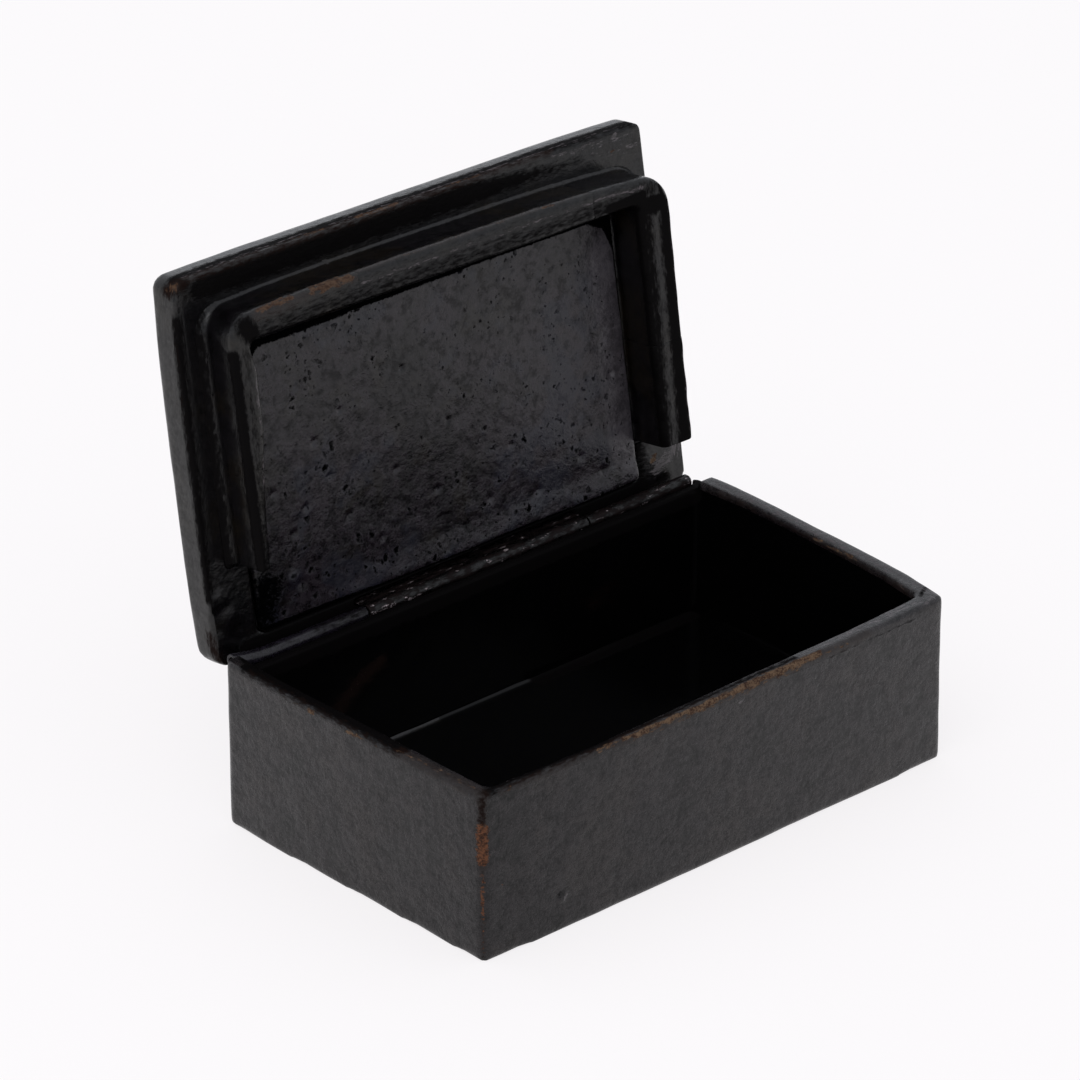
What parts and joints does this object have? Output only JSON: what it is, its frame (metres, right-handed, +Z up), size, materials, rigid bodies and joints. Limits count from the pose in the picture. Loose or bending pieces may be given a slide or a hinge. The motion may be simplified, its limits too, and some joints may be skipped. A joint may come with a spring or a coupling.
{
  "type": "snuff box",
  "caption": "Rectangular lacquered papier-mache snuff box with a hinged lid standing open, rim strips under the lid that drop inside the walls, and a let-in metal barrel hinge.",
  "frame": {"origin": "middle of the underside of the box, where it stands", "axes": "+X along the long front to the right, -Y out of the front, +Z up"},
  "size_m": [0.0833, 0.0651, 0.074],
  "materials": {
    "lacquered_board": "black lacquer over papier-mache, satin, worn brown at the edges",
    "panel_lacquer": "dark violet-grey lacquer, glossy and finely pitted",
    "hinge_metal": "dull brown-grey metal with bright rubbed spots"
  },
  "bodies": {
    "box": {"box_walls": "lacquered_board", "box_bottom": "lacquered_board", "hinge_knuckle_left": "hinge_metal", "hinge_knuckle_right": "hinge_metal", "hinge_pin": "hinge_metal"},
    "lid": {"lid_board": "lacquered_board", "lid_panel": "panel_lacquer", "hinge_knuckle_lid": "hinge_metal", "rim_left": "lacquered_board", "rim_front": "lacquered_board", "rim_right": "lacquered_board", "rim_right_rear": "lacquered_board"}
  },
  "joints": [
    {"name": "lid_hinge", "type": "hinge", "parent": "box", "child": "lid", "pos_m": [0, 0.02475, 0.02245], "axis": [1, 0, 0], "range_deg": [0, 99]}
  ]
}
